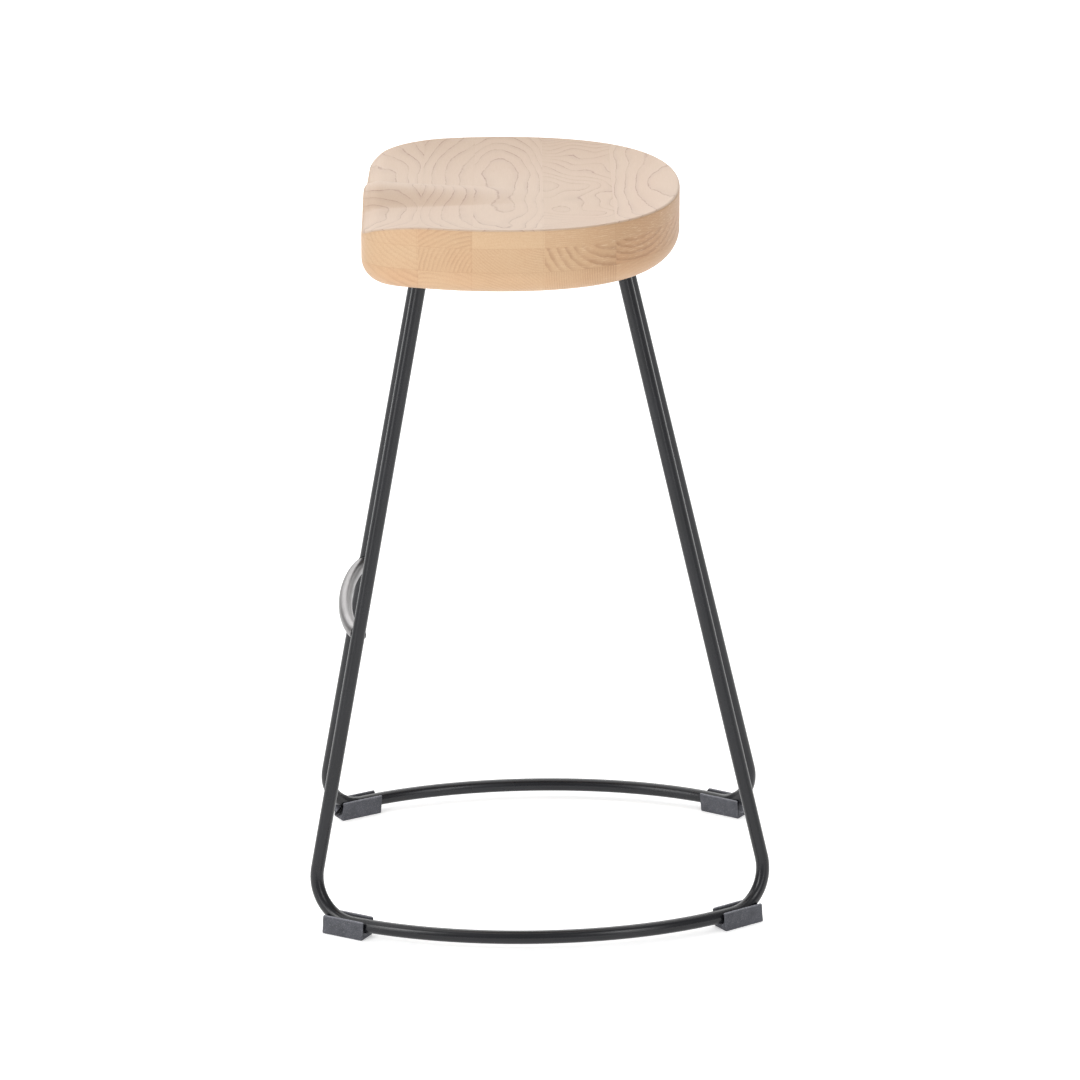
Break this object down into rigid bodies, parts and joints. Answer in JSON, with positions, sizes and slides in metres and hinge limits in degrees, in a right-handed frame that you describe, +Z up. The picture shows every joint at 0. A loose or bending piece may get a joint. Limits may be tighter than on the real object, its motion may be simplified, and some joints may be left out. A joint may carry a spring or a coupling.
{
  "type": "bar stool with footrest",
  "caption": "Backless bar stool: carved wooden tractor seat on two bent-rod steel side frames with bowed floor rails, a curved bright footrest between the front legs and rubber foot blocks",
  "frame": {"origin": "on the floor, in the middle of the stool's outer box", "axes": "+Z up; the front of the seat and the footrest face -Y; right means +X, as seen by someone who faces the front"},
  "size_m": [0.4534, 0.4736, 0.7506],
  "materials": {
    "wood": "light laminated wood with a clear satin varnish",
    "black_paint": "satin black powder coat",
    "chrome": "polished",
    "rubber": "matt, dark grey",
    "zinc_steel": "zinc plated",
    "brass": "plain"
  },
  "bodies": {
    "root": {"side_frame_right": "black_paint", "side_frame_left": "black_paint", "foot_front_right": "rubber", "foot_front_left": "rubber", "foot_rear_right": "rubber", "foot_rear_left": "rubber", "footrest": "chrome", "seat": "wood", "seat_plate": "black_paint", "screw_front_right": "zinc_steel", "screw_front_left": "zinc_steel", "screw_rear_right": "zinc_steel", "screw_rear_left": "zinc_steel", "washer_front_right": "zinc_steel", "washer_front_left": "zinc_steel", "washer_rear_right": "zinc_steel", "washer_rear_left": "zinc_steel", "insert_front_right": "brass", "insert_front_left": "brass", "insert_rear_right": "brass", "insert_rear_left": "brass"}
  },
  "joints": []
}
